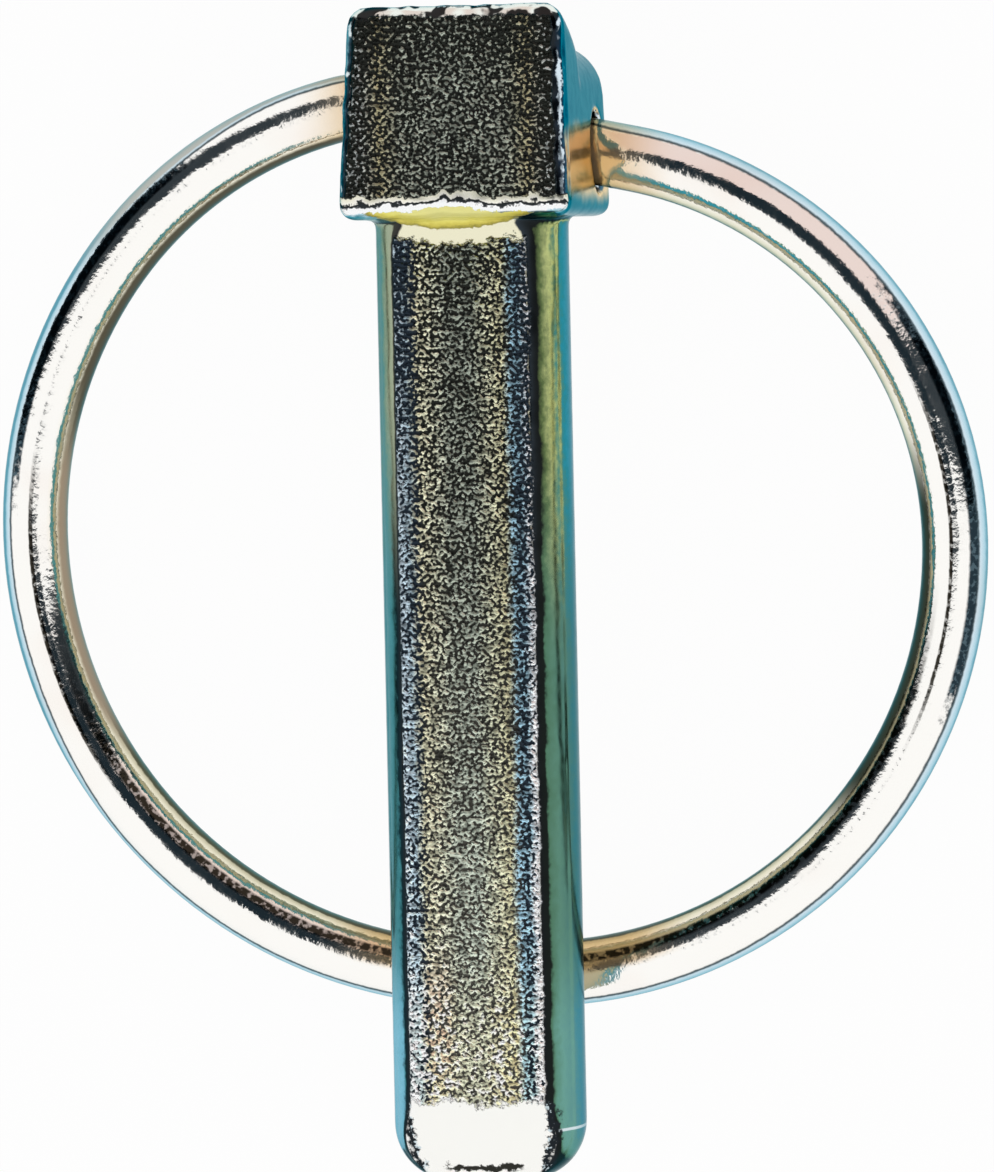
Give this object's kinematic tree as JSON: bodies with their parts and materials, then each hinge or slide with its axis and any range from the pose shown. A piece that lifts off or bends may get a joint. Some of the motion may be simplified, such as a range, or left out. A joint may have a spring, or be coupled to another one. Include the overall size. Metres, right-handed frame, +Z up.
{
  "type": "lynch pin",
  "caption": "Forged retaining pin with a block head, a flat along its round shank, and a spring-wire ring that swings over the shank to lock it in a cross hole.",
  "frame": {"origin": "on the shank's axis, in the plane of the seat under the head", "axes": "+Y along the shank's axis to the head, +X to the right, +Z up as the pin lies on its back, the way the shank's flat and the head's front look"},
  "size_m": [0.0579, 0.067, 0.0159],
  "materials": {
    "pin": "zinc plated forging, bright with a fine grain",
    "spring_ring": "zinc plated spring wire, smooth and glossy"
  },
  "bodies": {
    "pin": {"pin": "pin"},
    "spring_ring": {"spring_ring": "spring_ring"}
  },
  "joints": [
    {"name": "ring_hinge", "type": "hinge", "parent": "pin", "child": "spring_ring", "pos_m": [0, 0.005, -0.0062], "axis": [0.9789, -0.2045, 0], "range_deg": [0, 180], "stiffness_Nm_per_rad": 0.04, "springref_deg": -20.05}
  ]
}
